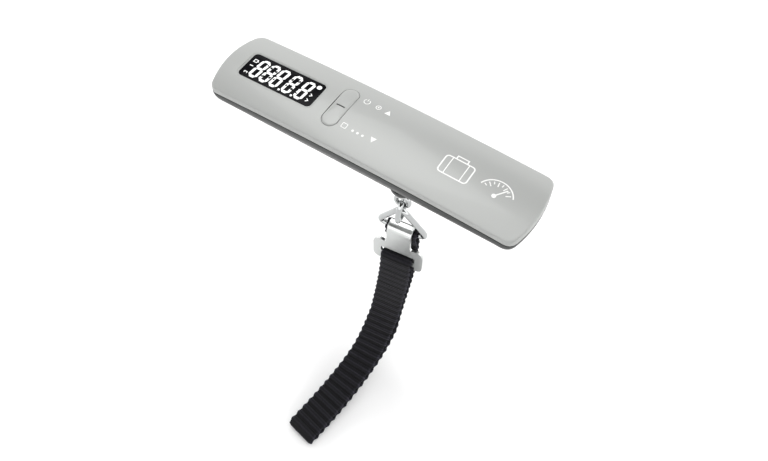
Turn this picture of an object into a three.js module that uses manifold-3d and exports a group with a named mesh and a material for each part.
// Digital luggage scale: a hand-grip housing with a display and a rocker key, a load cell inside,
// and a webbing strap that hangs from a swivelling eye by a link, a triangle ring and a hook plate.
// Millimetres. +X runs from the display end to the plain end, +Z is the way the display faces.
// The origin is in the middle of the grip, on the centre line of its underside boss plane (y = 0).

import * as THREE from 'three';
import { mergeVertices } from 'three/addons/utils/BufferGeometryUtils.js';
import Module from 'manifold-3d';

const wasm = await Module();
wasm.setup();

// ---------------------------------------------------------------- driving dimensions

const GAP = 0.3;                 // clearance between touching pieces
const LENGTH = 140;              // housing, end to end
const WIDTH = 34;                // housing, across the display
const END_SAG = 2.8;             // how far each rounded end bows out
const CORNER = 3.2;              // plan corner radius
const RIM_Z = 7.1;               // long edges of the display face
const CROWN = 2.3;               // rise of the face from its long edges to its middle
const ARCH = 1.9;                // drop of both shells from mid length to the ends
const SEAM_Z = 5.1;              // joint line between the front and back covers
const KEEL_Z = -17.5;            // flat underside of the back cover
const SIDE_RADIUS = 9.7;         // rounding of the back cover just under the seam
const SIDE_SLOPE = 30;           // degrees from vertical of the back cover's flanks
const KEEL_RADIUS = 4;           // rounding between a flank and the flat underside
const WALL = 1.8;                // shell thickness

const WINDOW = { x: -44, y: 0, length: 34.4, width: 12.6, corner: 1.6 };
const BEZEL_BORDER = 0.9;
const KEY = { x: -16.5, y: 0.5, length: 20.6, width: 6.9 };
const KEY_PROUD = 0.35;

const CELL = { radius: 5.2, length: 44.5, y: 5.35, z: -3.4 };
const DOOR = { x0: -53.5, x1: -4.5, z: -3 };
const SPRING_LENGTH = 2;         // battery contact spring, pressed
const BOARD = { x0: -61, x1: -4, width: 25, z0: 2.1, z1: 3.1 };

const EYE_X = 13.2;              // load axis along the housing
const EYE = { z: -30, radius: 3, wire: 1, shank: 2 };
const BOSS = { radius: 5.8, z: -18 };
const BAR = { x0: 7.4, x1: 58, width: 9, z0: -10, z1: -2 };

const SWIVEL = 7;                // degrees that the eye and all that hangs from it are turned about z
const LINK = { wire: 1.2, radius: 2.9, straight: 4.3, tilt: 23, top: 2.4 };
const RING = { wire: 1.3, half: 12.3, height: 18, corner: 3.2, drop: 2.75, tilt: 9 };
const WEBBING = { width: 15, thickness: 1.4 };
const PLATE = { thickness: 1.3, front: 4.7, pivot: 18.2, tongue: 5.7, ears: 12 };

// ---------------------------------------------------------------- solids and booleans

// Signed volume enclosed by an indexed triangle mesh.
function signedVolume(points, triangles) {
  const corner = (i) => new THREE.Vector3().fromArray(points, 3 * triangles[i]);
  let volume = 0;
  for (let i = 0; i < triangles.length; i += 3) {
    volume += corner(i).dot(corner(i + 1).cross(corner(i + 2))) / 6;
  }
  return volume;
}

// A closed solid from a three.js geometry, facing outwards whichever way round it was drawn.
function solid(geometry) {
  const bare = geometry.clone();
  bare.deleteAttribute('normal');
  bare.deleteAttribute('uv');
  const merged = mergeVertices(bare, 1e-4);
  const vertProperties = new Float32Array(merged.attributes.position.array);
  const triVerts = new Uint32Array(merged.index.array);
  if (signedVolume(vertProperties, triVerts) < 0) {
    triVerts.reverse();
  }
  return new wasm.Manifold(new wasm.Mesh({ numProp: 3, vertProperties, triVerts }));
}

// A three.js geometry from a solid.
function geometryOf(body) {
  const mesh = body.getMesh();
  const geometry = new THREE.BufferGeometry();
  geometry.setAttribute('position', new THREE.BufferAttribute(new Float32Array(mesh.vertProperties), 3));
  geometry.setIndex(new THREE.BufferAttribute(new Uint32Array(mesh.triVerts), 1));
  return geometry;
}

const union = (...bodies) => bodies.reduce((all, body) => all.add(body));
const cut = (body, ...tools) => tools.reduce((rest, tool) => rest.subtract(tool), body);

// Moves every vertex of a geometry by a function of its position.
function bend(geometry, move) {
  const position = geometry.attributes.position;
  const vertex = new THREE.Vector3();
  for (let i = 0; i < position.count; i += 1) {
    vertex.fromBufferAttribute(position, i);
    move(vertex);
    position.setXYZ(i, vertex.x, vertex.y, vertex.z);
  }
  return geometry;
}

function box(x0, x1, y0, y1, z0, z1) {
  const geometry = new THREE.BoxGeometry(x1 - x0, y1 - y0, z1 - z0);
  return geometry.translate((x0 + x1) / 2, (y0 + y1) / 2, (z0 + z1) / 2);
}

function cylinderZ(radius, x, y, z0, z1, sides = 24) {
  const geometry = new THREE.CylinderGeometry(radius, radius, z1 - z0, sides);
  return geometry.rotateX(Math.PI / 2).translate(x, y, (z0 + z1) / 2);
}

function cylinderX(radius, x0, x1, y, z, sides = 24) {
  const geometry = new THREE.CylinderGeometry(radius, radius, x1 - x0, sides);
  return geometry.rotateZ(Math.PI / 2).translate((x0 + x1) / 2, y, z);
}

// Extrudes a shape drawn in (x, y) from z0 up to z1.
function alongZ(shape, z0, z1, steps = 1, curveSegments = 6) {
  const options = { depth: z1 - z0, steps, bevelEnabled: false, curveSegments };
  return new THREE.ExtrudeGeometry(shape, options).translate(0, 0, z0);
}

// Extrudes a shape drawn in (y, z) from x0 to x1.
function alongX(shape, x0, x1, steps = 1, curveSegments = 6) {
  const options = { depth: x1 - x0, steps, bevelEnabled: false, curveSegments };
  const turn = new THREE.Matrix4().makeBasis(
    new THREE.Vector3(0, 1, 0), new THREE.Vector3(0, 0, 1), new THREE.Vector3(1, 0, 0));
  return new THREE.ExtrudeGeometry(shape, options).applyMatrix4(turn).translate(x0, 0, 0);
}

// Extrudes a shape drawn in (x, z) from y0 to y1.
function alongY(shape, y0, y1, curveSegments = 6) {
  const options = { depth: y1 - y0, steps: 1, bevelEnabled: false, curveSegments };
  const turn = new THREE.Matrix4().makeBasis(
    new THREE.Vector3(1, 0, 0), new THREE.Vector3(0, 0, 1), new THREE.Vector3(0, -1, 0));
  return new THREE.ExtrudeGeometry(shape, options).applyMatrix4(turn).translate(0, y1, 0);
}

// A round wire along an open curve.
function wire(curve, radius, steps, sides = 10) {
  const section = new THREE.Shape();
  for (let i = 0; i < sides; i += 1) {
    const angle = (2 * Math.PI * i) / sides;
    const place = [radius * Math.cos(angle), radius * Math.sin(angle)];
    if (i === 0) {
      section.moveTo(...place);
    } else {
      section.lineTo(...place);
    }
  }
  section.closePath();
  return new THREE.ExtrudeGeometry(section, { steps, extrudePath: curve, bevelEnabled: false });
}

// A round wire along a closed curve that lies in the plane square to a normal.
function closedWire(curve, normal, radius, steps, sides = 12) {
  const geometry = new THREE.TorusGeometry(1, 0.5, sides, steps);
  const position = geometry.attributes.position;
  for (let index = 0; index < position.count; index += 1) {
    const around = (2 * Math.PI * Math.floor(index / (steps + 1))) / sides;
    const share = ((index % (steps + 1)) % steps) / steps;
    const outward = curve.getTangentAt(share).cross(normal);
    const place = curve.getPointAt(share)
      .addScaledVector(outward, radius * Math.cos(around))
      .addScaledVector(normal, radius * Math.sin(around));
    position.setXYZ(index, place.x, place.y, place.z);
  }
  return solid(geometry);
}

// A rounded rectangle round (cx, cy).
function roundedRectangle(cx, cy, length, width, radius) {
  const [x, y] = [length / 2, width / 2];
  const shape = new THREE.Shape();
  shape.moveTo(cx - x + radius, cy - y);
  shape.lineTo(cx + x - radius, cy - y);
  shape.absarc(cx + x - radius, cy - y + radius, radius, -Math.PI / 2, 0);
  shape.lineTo(cx + x, cy + y - radius);
  shape.absarc(cx + x - radius, cy + y - radius, radius, 0, Math.PI / 2);
  shape.lineTo(cx - x + radius, cy + y);
  shape.absarc(cx - x + radius, cy + y - radius, radius, Math.PI / 2, Math.PI);
  shape.lineTo(cx - x, cy - y + radius);
  shape.absarc(cx - x + radius, cy - y + radius, radius, Math.PI, 1.5 * Math.PI);
  return shape;
}

// A polygon through a list of [a, b] points.
function polygon(points) {
  const shape = new THREE.Shape();
  points.forEach(([a, b], i) => (i === 0 ? shape.moveTo(a, b) : shape.lineTo(a, b)));
  shape.closePath();
  return shape;
}

// ---------------------------------------------------------------- housing form

const archDrop = (x) => ARCH * (2 * x / LENGTH) ** 2;
const faceZ = (x, y) => RIM_Z + CROWN * (1 - (2 * y / WIDTH) ** 2) - archDrop(x);

// Plan outline of the housing: straight long sides, bowed ends, rounded corners.
function planShape(inset) {
  const halfLength = LENGTH / 2 - inset;
  const halfWidth = WIDTH / 2 - inset;
  const cornerX = halfLength - END_SAG;
  const arcX = cornerX + END_SAG * 0.35;
  const stations = 10;
  const shape = new THREE.Shape();
  for (const side of [-1, 1]) {
    const [from, to] = [side * (cornerX - CORNER), -side * (cornerX - CORNER)];
    for (let i = 0; i <= stations; i += 1) {
      const x = -from + ((from - to) * i) / stations;
      if (side === -1 && i === 0) {
        shape.moveTo(-x, -halfWidth);
      } else {
        shape.lineTo(-x, side * halfWidth);
      }
    }
    const endSide = -side;
    const middleX = 2 * halfLength - arcX;
    shape.quadraticCurveTo(endSide * cornerX, side * halfWidth, endSide * arcX, side * (halfWidth - CORNER));
    shape.quadraticCurveTo(endSide * middleX, 0, endSide * arcX, -side * (halfWidth - CORNER));
    shape.quadraticCurveTo(endSide * cornerX, -side * halfWidth,
      endSide * (cornerX - CORNER), -side * halfWidth);
  }
  return shape;
}

// Inset against drop of the back cover's flank, from the seam to the flat underside.
function flankProfile(depth) {
  const slope = THREE.MathUtils.degToRad(SIDE_SLOPE);
  const profile = new THREE.Path();
  profile.moveTo(0, 0);
  profile.absarc(SIDE_RADIUS, 0, SIDE_RADIUS, Math.PI, Math.PI - slope, true);
  const arcEnd = [SIDE_RADIUS * (1 - Math.cos(slope)), SIDE_RADIUS * Math.sin(slope)];
  const run = depth - KEEL_RADIUS * (1 - Math.sin(slope)) - arcEnd[1];
  const slopeEnd = [arcEnd[0] + run * Math.tan(slope), arcEnd[1] + run];
  profile.lineTo(...slopeEnd);
  const centre = [slopeEnd[0] + KEEL_RADIUS * Math.cos(slope), slopeEnd[1] - KEEL_RADIUS * Math.sin(slope)];
  profile.absarc(...centre, KEEL_RADIUS, Math.PI - slope, Math.PI / 2, true);
  return profile;
}

// Solid form of the back cover, shrunk by an inset, from the seam down to the underside.
// The first level can rise above the seam, to open a hollow upwards.
function hullForm(inset, top, bottom, rise = 0) {
  const steps = 14;
  const levels = flankProfile(top - bottom).getSpacedPoints(steps);
  const [halfLength, halfWidth] = [LENGTH / 2 - inset, WIDTH / 2 - inset];
  const form = alongZ(planShape(inset), 0, 1, steps, 4);
  return bend(form, (p) => {
    const share = p.z;
    const level = levels[Math.round(share * steps)];
    p.x *= (halfLength - level.x) / halfLength;
    p.y *= (halfWidth - level.x) / halfWidth;
    p.z = top - level.y - archDrop(p.x) * (1 - share) + (share === 0 ? rise : 0);
  });
}

// Solid under the crowned, arched face, lowered by a depth, from a floor level up.
function crownForm(depth, floor) {
  const points = [];
  const strips = 14;
  const half = WIDTH / 2 + 1;
  for (let i = 0; i <= strips; i += 1) {
    const y = half - (2 * half * i) / strips;
    points.push([y, faceZ(0, y) - depth]);
  }
  points.push([-half, floor], [half, floor]);
  const form = alongX(polygon(points), -LENGTH / 2 - 1, LENGTH / 2 + 1, 16);
  return bend(form, (p) => { p.z -= archDrop(p.x); });
}

const SCREW_PLACES = [[-64.2, -7.5], [-64.2, 7.5], [64.2, -7.5], [64.2, 7.5]];
const SCREW = { head: 1.9, shank: 0.9, seat: -2, tip: 4.6 };

function keyShape(grow) {
  const radius = KEY.width / 2 + grow;
  return roundedRectangle(KEY.x, KEY.y, KEY.width + 2 * grow, KEY.length + 2 * grow, radius - 0.01);
}

function windowShape(grow) {
  return roundedRectangle(WINDOW.x, WINDOW.y, WINDOW.length + 2 * grow, WINDOW.width + 2 * grow,
    WINDOW.corner + grow);
}

const PIVOT_Z = 5.3;             // axis of the rocker key
const PIN_RADIUS = 0.7;

function frontCover() {
  const prism = solid(alongZ(planShape(0), 0, 14, 1, 4));
  let cover = prism.intersect(solid(crownForm(0, SEAM_Z)));
  const room = solid(alongZ(planShape(WALL), 0, 14, 1, 4)).intersect(solid(crownForm(WALL, SEAM_Z - 2)));
  cover = cut(cover, room);
  for (const side of [-1, 1]) {
    const x = KEY.x + side * (KEY.width / 2 + 2.2);
    cover = cover.add(solid(box(x - 0.7, x + 0.7, KEY.y - 2, KEY.y + 2, PIVOT_Z - 1.6, 8)));
  }
  for (const [x, y] of SCREW_PLACES) {
    cover = cover.add(solid(cylinderZ(2.4, x, y, 1.6, 6.6, 16)));
    cover = cover.subtract(solid(cylinderZ(SCREW.shank + GAP, x, y, 1, SCREW.tip + 0.4, 16)));
  }
  return cut(
    cover,
    solid(alongZ(windowShape(BEZEL_BORDER + GAP), 3, 12)),
    solid(alongZ(keyShape(GAP + 0.05), 6, 12)),
    solid(cylinderX(PIN_RADIUS + GAP, KEY.x - 8, KEY.x + 8, KEY.y, PIVOT_Z, 16)),
  );
}

const hullOuter = solid(hullForm(0, SEAM_Z - GAP, KEEL_Z));
const hullInner = solid(hullForm(WALL, SEAM_Z - GAP, KEEL_Z + WALL, 3));
const hullShell = hullOuter.subtract(hullInner);

function backCover() {
  let cover = hullShell;
  const bulkheads = [[DOOR.x0 - 1.8, DOOR.x0 - GAP], [DOOR.x1 + GAP, DOOR.x1 + 1.8]];
  for (const [x0, x1] of bulkheads) {
    cover = cover.add(solid(box(x0, x1, -14, 14, KEEL_Z + 0.5, 1.8)).intersect(hullOuter));
  }
  cover = cover.add(solid(box(43.5, 58.4, -4.5, 4.5, KEEL_Z + 0.5, BAR.z0 - GAP)).intersect(hullOuter));
  cover = cover.add(solid(cylinderZ(BOSS.radius + 0.3, EYE_X, 0, KEEL_Z, KEEL_Z + 4, 32)));
  for (const [x, y] of SCREW_PLACES) {
    cover = cover.add(solid(cylinderZ(3.1, x, y, -14, 1.2, 20)).intersect(hullOuter));
    cover = cover.subtract(solid(cylinderZ(SCREW.head + GAP, x, y, -20, SCREW.seat, 20)));
    cover = cover.subtract(solid(cylinderZ(SCREW.shank + GAP, x, y, -20, 6, 16)));
  }
  cover = cut(
    cover,
    solid(box(DOOR.x0 - GAP, DOOR.x1 + GAP, -15, 15, -20, DOOR.z + GAP)),
    solid(cylinderZ(EYE.shank + 0.8, EYE_X, 0, -20, -8, 24)),
  );
  for (const x of CELL_SCREWS) {
    cover = cover.subtract(solid(cylinderZ(1.5 + GAP, x, 0, -15.4, -8, 16)));
  }
  return cover;
}

function batteryDoor() {
  const panel = hullShell.intersect(solid(box(DOOR.x0, DOOR.x1, -15, 15, -20, DOOR.z)));
  const rib = hullInner.intersect(solid(box(-30.2, -29, -15, 15, -18, CELL.z - CELL.radius - 1.2)));
  return panel.add(rib);
}

// ---------------------------------------------------------------- display and key

function displayBezel() {
  const frame = solid(alongZ(windowShape(BEZEL_BORDER), 6.4, 12));
  const opening = solid(alongZ(windowShape(GAP), 3, 12));
  return frame.subtract(opening).intersect(solid(crownForm(0.15, 0)));
}

function displayLens() {
  return solid(alongZ(windowShape(0), 6.6, 12)).intersect(solid(crownForm(0.3, 0)));
}

function rockerKey() {
  const proud = solid(crownForm(-KEY_PROUD, 0));
  const cap = solid(alongZ(keyShape(0), 4.6, 12)).intersect(proud);
  const flange = solid(box(KEY.x - 4.4, KEY.x + 4.4, KEY.y - 10.9, KEY.y + 10.9, 4.6, 6));
  const bore = solid(cylinderX(PIN_RADIUS + GAP, KEY.x - 8, KEY.x + 8, KEY.y, PIVOT_Z, 16));
  const mark = solid(box(KEY.x - 1.9, KEY.x + 1.9, KEY.y - 0.25, KEY.y + 0.25, 9.3, 12));
  return cut(cap.add(flange), bore, mark);
}

// ---------------------------------------------------------------- inside the housing

const CELL_SCREWS = [48, 54];

function circuitBoard() {
  const half = BOARD.width / 2;
  const board = solid(box(BOARD.x0, BOARD.x1, -half, half, BOARD.z0, BOARD.z1));
  const notches = [-1, 1].map((side) => solid(cylinderZ(3, BOARD.x0 - 1.4, side * 7.5, 0, 5, 16)));
  return cut(board, ...notches);
}

function loadCell() {
  const [z0, z1] = [BAR.z0, BAR.z1];
  const middle = (z0 + z1) / 2;
  const outline = polygon([[BAR.x0, z0], [BAR.x1, z0], [BAR.x1, z1], [BAR.x0, z1]]);
  const window = new THREE.Path();
  window.absarc(27, middle, 3, Math.PI * 0.25, Math.PI * 1.75);
  window.absarc(37, middle, 3, -Math.PI * 0.75, Math.PI * 0.75);
  window.closePath();
  outline.holes.push(window);
  const bar = solid(alongY(outline, -BAR.width / 2, BAR.width / 2, 10));
  const holes = [solid(cylinderZ(EYE.shank + 0.4, EYE_X, 0, -12, 0, 20))];
  for (const x of CELL_SCREWS) {
    holes.push(solid(cylinderZ(1.5 + GAP, x, 0, -12, 0, 16)));
  }
  return cut(bar, ...holes);
}

function machineScrew(headRadius, headHeight, shankRadius, shankLength, sides = 16) {
  const profile = [
    new THREE.Vector2(0, 0),
    new THREE.Vector2(shankRadius, 0),
    new THREE.Vector2(shankRadius, shankLength),
    new THREE.Vector2(headRadius, shankLength),
    new THREE.Vector2(headRadius, shankLength + headHeight * 0.7),
    new THREE.Vector2(headRadius * 0.75, shankLength + headHeight),
    new THREE.Vector2(0, shankLength + headHeight),
  ];
  const body = solid(new THREE.LatheGeometry(profile, sides).rotateX(Math.PI / 2));
  const top = shankLength + headHeight;
  const slots = [
    solid(box(-headRadius * 0.6, headRadius * 0.6, -0.25, 0.25, top - headHeight * 0.5, top + 1)),
    solid(box(-0.25, 0.25, -headRadius * 0.6, headRadius * 0.6, top - headHeight * 0.5, top + 1)),
  ];
  return cut(body, ...slots);
}

function batteryCell() {
  const { radius, length } = CELL;
  const profile = [
    new THREE.Vector2(0, 0),
    new THREE.Vector2(radius - 0.4, 0),
    new THREE.Vector2(radius, 0.4),
    new THREE.Vector2(radius, length - 1.7),
    new THREE.Vector2(radius - 0.5, length - 1.2),
    new THREE.Vector2(1.9, length - 1.2),
    new THREE.Vector2(1.9, length),
    new THREE.Vector2(0, length),
  ];
  return solid(new THREE.LatheGeometry(profile, 28));
}

function contactSpring() {
  class Cone extends THREE.Curve {
    getPoint(t, target = new THREE.Vector3()) {
      const turns = 3 * 2 * Math.PI * t;
      const radius = 3.2 - 1.7 * t;
      return target.set(SPRING_LENGTH * t, radius * Math.cos(turns), radius * Math.sin(turns));
    }
  }
  return solid(wire(new Cone(), 0.16, 42, 5));
}

// ---------------------------------------------------------------- hardware of the strap

const ACROSS = new THREE.Vector3(1, 0, 0);
const AHEAD = new THREE.Vector3(0, 1, 0);

function loadEye() {
  const ring = solid(new THREE.TorusGeometry(EYE.radius, EYE.wire, 12, 32).rotateX(Math.PI / 2));
  const shankTop = 2.6;
  const shank = solid(cylinderZ(EYE.shank, 0, 0, EYE.radius - 0.2, shankTop - EYE.z, 24));
  const collar = solid(cylinderZ(EYE.shank + 0.4, 0, 0, EYE.radius - 0.4, EYE.radius + 1.4, 24));
  return union(ring, shank, collar);
}

// A closed loop of straight runs between corners, each rounded over a radius.
function roundedLoop(corners, radius) {
  const count = corners.length;
  const ends = corners.map((corner, i) => {
    const before = corners[(i + count - 1) % count].clone().sub(corner).normalize();
    const after = corners[(i + 1) % count].clone().sub(corner).normalize();
    const setback = radius / Math.tan(before.angleTo(after) / 2);
    return [
      corner.clone().addScaledVector(before, setback),
      corner.clone().addScaledVector(after, setback),
    ];
  });
  const points = corners.flatMap((corner, i) => {
    const [start, end] = ends[i];
    const next = ends[(i + 1) % count][0];
    const turn = new THREE.QuadraticBezierCurve3(start, corner, end).getPoints(5);
    return [...turn, end.clone().lerp(next, 0.34), end.clone().lerp(next, 0.67)];
  });
  return new THREE.CatmullRomCurve3(points, true);
}

function ovalLink() {
  const { radius, straight } = LINK;
  const points = [];
  for (let i = 0; i <= 8; i += 1) {
    const angle = (Math.PI * i) / 8;
    points.push(new THREE.Vector3(0, radius * Math.cos(angle), straight / 2 + radius * Math.sin(angle)));
  }
  points.push(new THREE.Vector3(0, -radius, 0));
  for (let i = 0; i <= 8; i += 1) {
    const angle = Math.PI + (Math.PI * i) / 8;
    points.push(new THREE.Vector3(0, radius * Math.cos(angle), -straight / 2 + radius * Math.sin(angle)));
  }
  points.push(new THREE.Vector3(0, radius, 0));
  return closedWire(new THREE.CatmullRomCurve3(points, true), ACROSS, LINK.wire, 40);
}

function triangleRing() {
  const sharpTip = 0.71 * RING.corner;
  const corners = [
    new THREE.Vector3(0, 0, sharpTip),
    new THREE.Vector3(-RING.half, 0, -RING.height),
    new THREE.Vector3(RING.half, 0, -RING.height),
  ];
  return closedWire(roundedLoop(corners, RING.corner), AHEAD, RING.wire, 60);
}

// Flat plate drawn round the strip below its slot: two lobed ears, and a tongue that bends back
// over the ring's bar.
function hookPlate() {
  const { thickness, tongue, ears, pivot } = PLATE;
  const top = pivot + PLATE.front;
  const strip = 1.7;
  const earFoot = -4.2;
  const earTop = 11.6;
  const footInner = 8.3;
  const shape = new THREE.Shape();
  shape.moveTo(-tongue, top - 1.5);
  shape.lineTo(-tongue, earTop);
  shape.quadraticCurveTo(-tongue - 0.2, earTop - 1.7, -tongue - 1.8, earTop - 0.9);
  shape.quadraticCurveTo(-ears + 1, earTop + 0.4, -ears, earTop - 4);
  shape.lineTo(-ears, earFoot + 4);
  shape.quadraticCurveTo(-ears, earFoot, -footInner, earFoot);
  shape.lineTo(-footInner, -strip);
  shape.lineTo(footInner, -strip);
  shape.lineTo(footInner, earFoot);
  shape.quadraticCurveTo(ears, earFoot, ears, earFoot + 4);
  shape.lineTo(ears, earTop - 4);
  shape.quadraticCurveTo(ears - 1, earTop + 0.4, tongue + 1.8, earTop - 0.9);
  shape.quadraticCurveTo(tongue + 0.2, earTop - 1.7, tongue, earTop);
  shape.lineTo(tongue, top - 1.5);
  shape.closePath();
  const slot = roundedRectangle(0, strip + 1.8, 16.4, 3.6, 0.8);
  shape.holes.push(new THREE.Path(slot.getPoints(4)));
  const sheet = solid(alongY(shape, -thickness / 2, thickness / 2, 6));
  const lip = new THREE.Shape();
  const inner = 1;
  const outer = inner + thickness;
  const back = PLATE.front - thickness / 2;
  lip.moveTo(-thickness / 2, top - outer);
  lip.absarc(outer - thickness / 2, top - outer, outer, Math.PI, Math.PI / 2, true);
  lip.lineTo(back, top);
  lip.lineTo(back, top - thickness);
  lip.absarc(outer - thickness / 2, top - outer, inner, Math.PI / 2, Math.PI, false);
  lip.closePath();
  return sheet.add(solid(alongX(lip, -tongue, tongue, 1, 6)));
}

// ---------------------------------------------------------------- webbing

// Outline of a ribbon of constant thickness along a centre line drawn in (y, z).
function ribbon(points, thickness, steps) {
  const line = new THREE.SplineCurve(points.map(([y, z]) => new THREE.Vector2(y, z)));
  const [left, right] = [[], []];
  for (let i = 0; i <= steps; i += 1) {
    const place = line.getPointAt(i / steps);
    const along = line.getTangentAt(i / steps);
    left.push([place.x - (along.y * thickness) / 2, place.y + (along.x * thickness) / 2]);
    right.unshift([place.x + (along.y * thickness) / 2, place.y - (along.x * thickness) / 2]);
  }
  return polygon([...left, ...right]);
}

function annulus(y, z, inner, outer) {
  const ring = new THREE.Shape();
  ring.absarc(y, z, outer, 0, 2 * Math.PI);
  const hole = new THREE.Path();
  hole.absarc(y, z, inner, 0, 2 * Math.PI);
  ring.holes.push(hole);
  return ring;
}

// How the webbing drifts sideways and twists on its way down and out from the hook plate.
function drape(p, hookBar) {
  const drift = 2.8 * THREE.MathUtils.smoothstep(hookBar.z - p.z, 0, 50);
  const out = Math.max(0, -p.y - 10);
  const across = p.x;
  p.x -= drift + 0.26 * out;
  p.y -= 0.35 * THREE.MathUtils.smoothstep(out, 0, 50) * across;
}

// The strap in the yz plane of the chain: a loop of two strands whose ends are sewn back.
function webbingLoop(ringBar, hookBar) {
  const t = WEBBING.thickness;
  const half = WEBBING.width / 2;
  const loop = [
    [ringBar.y + 2.35, ringBar.z], [3.6, -32], [2.6, -47], [0.8, -62], [-2.4, -75.5], [-8, -89.5],
    [-16.8, -102.8], [-28.6, -111.6], [-41.6, -116], [-53.6, -118], [-64.6, -118.4], [-69.6, -118.1],
    [-71.2, -116.7], [-69.6, -115.3], [-64, -115.2], [-54, -114.7], [-43, -112.6], [-31, -108.4],
    [-21, -101.2], [-12.6, -88], [-8, -74.7], [-6.3, -59.5], [-5.6, -47],
    [hookBar.y - 2.8, hookBar.z],
  ];
  const ringTail = [
    [ringBar.y - 2.35, ringBar.z], [-0.3, -24], [1.4, -28.5], [2.25, -33], [1.55, -44],
  ];
  const hookTail = [
    [hookBar.y + 2.8, hookBar.z], [-0.1, -41.8], [-2.4, -45.6], [-4.3, -50], [-5.1, -61],
  ];
  const bands = [
    ribbon(loop, t, 84),
    ribbon(ringTail, t, 12),
    ribbon(hookTail, t, 14),
    annulus(ringBar.y, ringBar.z, 1.65, 1.65 + t),
    annulus(hookBar.y, hookBar.z, 2.1, 2.1 + t),
  ];
  const strap = union(...bands.map((band) => solid(alongX(band, -half, half, 1, 12))));
  return bend(geometryOf(strap), (p) => drape(p, hookBar));
}

// ---------------------------------------------------------------- finishes

const finish = (color, roughness, metalness) => ({ color, roughness, metalness });
const SILVER = finish(0xc5c6c3, 0.42, 0.35);
const DARK_SHELL = finish(0x46484a, 0.5, 0);
const CHROME = finish(0xd4d6d8, 0.12, 1);
const STEEL = finish(0xb4b7ba, 0.35, 1);
const ALUMINIUM = finish(0xbfc3c6, 0.4, 1);
const WEB = finish(0x232327, 0.9, 0);
const BLACK_GLASS = finish(0x050506, 0.08, 0);
const BOARD_GREEN = finish(0x1f5a38, 0.6, 0);
const BLACK_PLASTIC = finish(0x151517, 0.5, 0);
const WHITE_PLASTIC = finish(0xe6e6e2, 0.5, 0);
const CELL_WRAP = finish(0x3c6a8c, 0.35, 0.2);
const RUBBER = finish(0x55585c, 0.85, 0);
const COPPER = finish(0xb87a3c, 0.4, 0.8);

const scale = new THREE.Group();

// Adds a named piece to a group, from a geometry or a solid.
function add(name, shape, look, parent = scale) {
  const geometry = shape.isBufferGeometry ? shape : geometryOf(shape);
  const mesh = new THREE.Mesh(geometry, new THREE.MeshStandardMaterial(look));
  mesh.name = name;
  parent.add(mesh);
  return mesh;
}

// ---------------------------------------------------------------- housing

add('front_cover', frontCover(), SILVER);
add('back_cover', backCover(), DARK_SHELL);
add('battery_door', batteryDoor(), DARK_SHELL);
add('display_bezel', displayBezel(), SILVER);
add('display_lens', displayLens(), BLACK_GLASS);
add('rocker_key', rockerKey(), SILVER);
add('rocker_pin', cylinderX(PIN_RADIUS, KEY.x - 6.2, KEY.x + 6.2, KEY.y, PIVOT_Z, 16), STEEL);

const BOSS_PROFILE = [
  new THREE.Vector2(EYE.shank + 0.6, KEEL_Z - GAP),
  new THREE.Vector2(EYE.shank + 0.6, BOSS.z - 5.0),
];
for (let i = 1; i <= 8; i += 1) {
  const start = Math.acos((EYE.shank + 0.6) / BOSS.radius);
  const angle = start * (1 - i / 8);
  BOSS_PROFILE.push(new THREE.Vector2(BOSS.radius * Math.cos(angle), BOSS.z - BOSS.radius * Math.sin(angle)));
}
BOSS_PROFILE.push(new THREE.Vector2(BOSS.radius, KEEL_Z - GAP), BOSS_PROFILE[0].clone());
const boss = solid(new THREE.LatheGeometry(BOSS_PROFILE, 32).rotateX(Math.PI / 2));
add('strap_boss', boss, DARK_SHELL).position.x = EYE_X;

SCREW_PLACES.forEach(([x, y], i) => {
  const screw = machineScrew(SCREW.head, 1.4, SCREW.shank, 6.2, 14);
  const mesh = add(`housing_screw_${i + 1}`, screw, STEEL);
  mesh.rotation.x = Math.PI;
  mesh.position.set(x, y, SCREW.tip - 0.4);
});

// ---------------------------------------------------------------- electronics

const PANEL = { x: WINDOW.x, length: 33, width: 14.4 };
const [panelX0, panelX1] = [PANEL.x - PANEL.length / 2, PANEL.x + PANEL.length / 2];
add('circuit_board', circuitBoard(), BOARD_GREEN);
add('lcd_panel', box(panelX0, panelX1, -PANEL.width / 2, PANEL.width / 2, 4.2, 6.2), BLACK_GLASS);
add('lcd_backlight', box(panelX0 + 1, panelX1 - 1, -5.4, 5.4, BOARD.z1 + GAP, 3.9), WHITE_PLASTIC);
add('lcd_connector', box(panelX0 + 2, panelX1 - 2, 5.8, 7, BOARD.z1 + GAP, 3.9), RUBBER);
add('controller_chip', box(-12, -6, 5.6, 11.4, BOARD.z1 + GAP, 4.2), BLACK_PLASTIC);
for (const [name, side] of [['power_switch', 1], ['unit_switch', -1]]) {
  const y = KEY.y + side * 7;
  const base = solid(box(KEY.x - 2.2, KEY.x + 2.2, y - 2.2, y + 2.2, BOARD.z1 + GAP, 3.55));
  add(name, base.add(solid(cylinderZ(0.9, KEY.x, y, 3.5, 3.65, 16))), BLACK_PLASTIC);
}
const padCore = solid(box(KEY.x - 3, KEY.x + 3, KEY.y - 10, KEY.y + 10, 3.95, 4.05));
add('switch_membrane', padCore, RUBBER);
add('load_cell', loadCell(), ALUMINIUM);
for (const [name, z] of [['strain_gauge_upper', BAR.z1 + 0.3], ['strain_gauge_lower', BAR.z0 - 0.5]]) {
  add(name, box(28, 36, -2.5, 2.5, z, z + 0.2), COPPER);
}
CELL_SCREWS.forEach((x, i) => {
  const screw = machineScrew(2.7, 2, 1.5, 13, 18);
  add(`cell_screw_${i + 1}`, screw, STEEL).position.set(x, 0, BAR.z1 + GAP - 13);
});

const ribbonPath = [[-2.2, 3.9], [2, 3.2], [6, 0.6], [12, 3.6], [20, 2.6], [27.6, -1.1]];
const flex = solid(alongY(ribbon(ribbonPath, 0.5, 24), 5.6, 8.8)).subtract(
  solid(box(-4, -0.5, 5, 9, 0, 3.4)));
add('gauge_ribbon', flex, COPPER);

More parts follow.
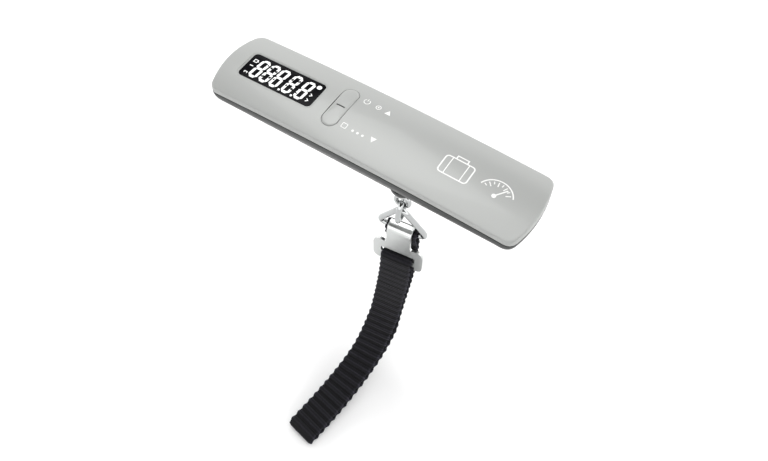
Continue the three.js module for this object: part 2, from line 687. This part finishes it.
// ---------------------------------------------------------------- batteries

const bridgeX = DOOR.x0 + 0.3;
const firstCell = add('battery_cell_1', batteryCell(), CELL_WRAP);
firstCell.rotation.z = -Math.PI / 2;
firstCell.position.set(bridgeX + SPRING_LENGTH + 1, CELL.y, CELL.z);
const secondCell = add('battery_cell_2', batteryCell(), CELL_WRAP);
secondCell.rotation.z = Math.PI / 2;
secondCell.position.set(DOOR.x1 - SPRING_LENGTH - 1.3, -CELL.y, CELL.z);
add('contact_bridge', box(bridgeX, bridgeX + 0.3, -9.4, 9.4, -7, 0), STEEL);
add('contact_plate', box(DOOR.x1 - 0.6, DOOR.x1 - 0.3, 1.6, 9.4, -7, 0), STEEL);
add('contact_spring_1', contactSpring(), STEEL).position.set(bridgeX + 0.5, CELL.y, CELL.z);
const secondSpring = add('contact_spring_2', contactSpring(), STEEL);
secondSpring.rotation.z = Math.PI;
secondSpring.position.set(DOOR.x1 - 0.8, -CELL.y, CELL.z);

// ---------------------------------------------------------------- eye, link, ring, hook, strap

const eye = new THREE.Group();
const swivel = THREE.MathUtils.degToRad(SWIVEL);
eye.position.set(EYE_X, 0, EYE.z);
eye.rotation.z = swivel;
scale.add(eye);
add('load_eye', loadEye(), CHROME, eye);
const washer = cut(solid(cylinderZ(4.2, 0, 0, 0, 0.8, 24)), solid(cylinderZ(EYE.shank + GAP, 0, 0, -1, 2, 24)));
add('load_washer', washer, STEEL, eye).position.z = BAR.z1 + GAP - EYE.z;
const nut = cut(solid(cylinderZ(3.9, 0, 0, 0, 3, 6)), solid(cylinderZ(EYE.shank + GAP, 0, 0, -1, 4, 24)));
add('load_nut', nut, STEEL, eye).position.z = BAR.z1 + 1.4 - EYE.z;

// Everything below the eye hangs in one group, turned with the eye.
const chain = new THREE.Group();
chain.position.set(EYE_X, 0, EYE.z - EYE.radius);
chain.rotation.z = swivel;
scale.add(chain);
const tilt = THREE.MathUtils.degToRad(LINK.tilt);
const hang = new THREE.Vector3(0, -Math.sin(tilt), -Math.cos(tilt));
const link = add('oval_link', ovalLink(), CHROME, chain);
link.rotation.x = -tilt;
link.position.copy(hang).multiplyScalar(LINK.straight / 2 + LINK.radius - LINK.top);
const apex = hang.clone().multiplyScalar(RING.drop);
const ringTilt = THREE.MathUtils.degToRad(RING.tilt);
const ring = add('triangle_ring', triangleRing(), CHROME, chain);
ring.rotation.x = ringTilt;
ring.position.copy(apex);
const ringBar = new THREE.Vector3(0, Math.sin(ringTilt), -Math.cos(ringTilt)).multiplyScalar(RING.height).add(apex);
const hookBar = new THREE.Vector3(0, ringBar.y - PLATE.front + PLATE.thickness / 2, ringBar.z - PLATE.pivot);
add('hook_plate', hookPlate(), CHROME, chain).position.copy(hookBar);
add('strap', webbingLoop(ringBar, hookBar), WEB, chain);

export default scale;
